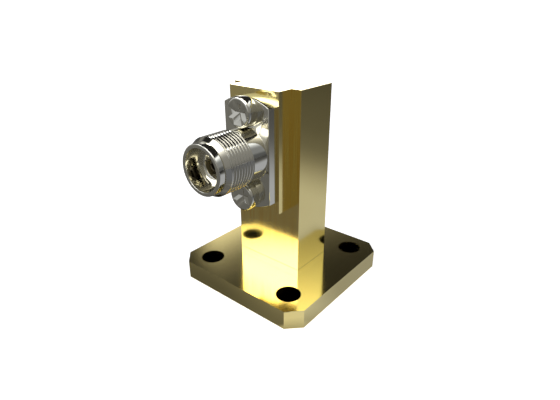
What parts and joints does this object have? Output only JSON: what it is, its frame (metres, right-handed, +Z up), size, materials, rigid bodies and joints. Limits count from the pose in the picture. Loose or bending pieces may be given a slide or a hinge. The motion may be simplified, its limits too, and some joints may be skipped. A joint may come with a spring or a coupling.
{
  "type": "waveguide to coaxial adapter",
  "caption": "Right-angle adapter from a flanged rectangular waveguide to a female coaxial socket, which is screwed to the column's side.",
  "frame": {"origin": "middle of the waveguide's mouth, on the flange's mating face", "axes": "+Z up the waveguide, away from the flange's mating face; X along the guide's broad side; the coaxial socket points along -Y"},
  "size_m": [0.019, 0.0225, 0.0249],
  "materials": {
    "gold_plating": "gold plated over brass, polished",
    "shell_steel": "turned stainless steel, bright",
    "screw_steel": "stainless steel, bright",
    "contact_gold": "gold plated",
    "bead_plastic": "machined dielectric",
    "seal_glass": "fused sealing glass"
  },
  "bodies": {
    "root": {"flange": "gold_plating", "waveguide_body": "gold_plating", "connector_shell": "shell_steel", "support_bead": "bead_plastic", "rear_sleeve": "shell_steel", "centre_contact": "contact_gold", "rear_contact": "contact_gold", "bead_ring": "contact_gold", "glass_bead": "seal_glass", "feed_pin": "contact_gold", "probe_tip": "contact_gold", "upper_screw": "screw_steel", "lower_screw": "screw_steel"}
  },
  "joints": []
}
